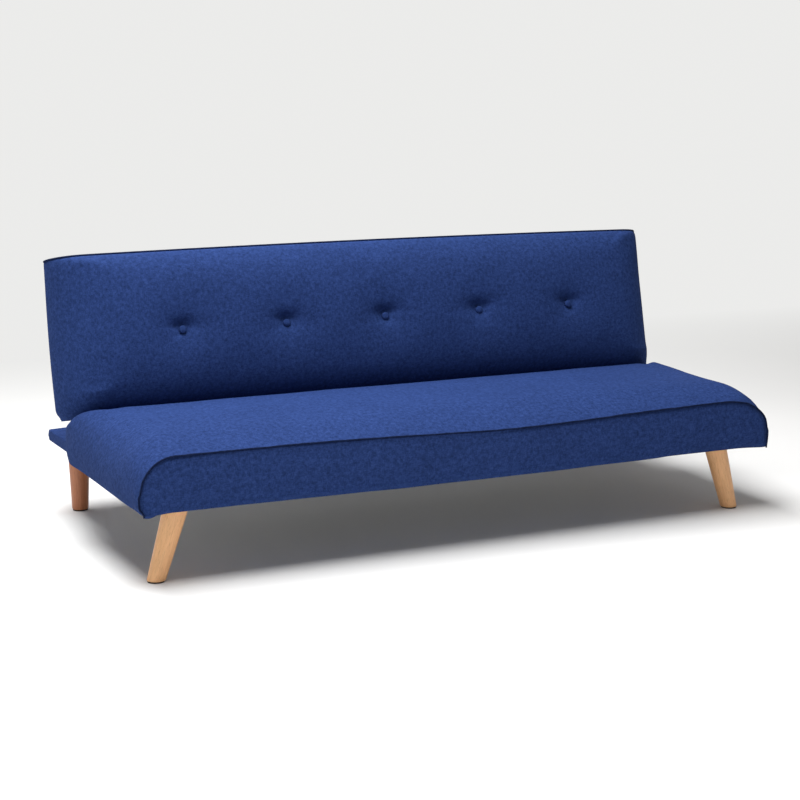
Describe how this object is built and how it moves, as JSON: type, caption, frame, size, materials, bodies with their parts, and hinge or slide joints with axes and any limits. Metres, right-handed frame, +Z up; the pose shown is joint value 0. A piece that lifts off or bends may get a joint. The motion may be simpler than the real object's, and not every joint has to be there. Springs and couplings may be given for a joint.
{
  "type": "click-clack sofa bed",
  "caption": "Armless upholstered sofa bed on short tapered wooden legs, with a buttoned back on ratchet hinges that folds down level with the seat.",
  "frame": {"origin": "on the floor, under the centre of the whole sofa's width and depth", "axes": "+X towards the sofa's right-hand end as seen from the front, +Y towards its back, +Z up"},
  "size_m": [1.78, 0.892, 0.7087],
  "materials": {
    "upholstery": "matte",
    "piping": "matte",
    "dust_sheet": "matte",
    "felt": "matte",
    "foam": "matte",
    "leg_wood": "satin",
    "frame_wood": "matte",
    "glide": "matte",
    "black_steel": "satin",
    "zinc_steel": "satin"
  },
  "bodies": {
    "base_seat": {"base_front_rail": "frame_wood", "base_middle_rail": "frame_wood", "base_rear_rail": "frame_wood", "base_left_rail": "frame_wood", "base_right_rail": "frame_wood", "base_dowels": "frame_wood", "base_left_cover": "upholstery", "base_right_cover": "upholstery", "base_rear_cover": "upholstery", "seat_front_rail": "frame_wood", "seat_rear_rail": "frame_wood", "seat_left_rail": "frame_wood", "seat_right_rail": "frame_wood", "seat_frame_screws": "zinc_steel", "seat_springs": "zinc_steel", "seat_spring_clips": "zinc_steel", "seat_spring_pad": "felt", "seat_foam": "foam", "seat_cover": "upholstery", "seat_front_panel": "upholstery", "seat_piping": "piping", "dust_cover": "dust_sheet", "front_left_leg": "leg_wood", "front_right_leg": "leg_wood", "rear_left_leg": "leg_wood", "rear_right_leg": "leg_wood", "leg_plates": "black_steel", "leg_plate_screws": "zinc_steel", "hanger_bolts": "zinc_steel", "foot_glides": "glide", "left_seat_plate": "black_steel", "right_seat_plate": "black_steel", "left_pivot_pin": "zinc_steel", "right_pivot_pin": "zinc_steel", "seat_hinge_bolts": "zinc_steel", "pawl_pins": "zinc_steel", "pawl_springs": "zinc_steel"},
    "backrest": {"back_top_rail": "frame_wood", "back_middle_rail": "frame_wood", "back_bottom_rail": "frame_wood", "back_left_stile": "frame_wood", "back_right_stile": "frame_wood", "back_springs": "zinc_steel", "back_spring_clips": "zinc_steel", "back_foam": "foam", "back_cover": "upholstery", "back_top_panel": "upholstery", "back_piping": "piping", "back_rear_panel": "upholstery", "back_buttons": "upholstery", "button_ties": "felt", "left_back_arm": "black_steel", "right_back_arm": "black_steel", "back_hinge_bolts": "zinc_steel"},
    "left_pawl": {"left_pawl": "zinc_steel"},
    "right_pawl": {"right_pawl": "zinc_steel"}
  },
  "joints": [
    {"name": "backrest_recline", "type": "hinge", "parent": "base_seat", "child": "backrest", "pos_m": [0, 0.134, 0.28], "axis": [-1, 0, 0], "range_deg": [-6, 76.9]},
    {"name": "left_pawl_lift", "type": "hinge", "parent": "base_seat", "child": "left_pawl", "pos_m": [-0.8085, 0.082, 0.256], "axis": [-1, 0, 0], "range_deg": [0, 12], "stiffness_Nm_per_rad": 0.05, "springref_deg": -11.46},
    {"name": "right_pawl_lift", "type": "hinge", "parent": "base_seat", "child": "right_pawl", "pos_m": [0.8085, 0.082, 0.256], "axis": [-1, 0, 0], "range_deg": [0, 12], "stiffness_Nm_per_rad": 0.05, "springref_deg": -11.46}
  ]
}
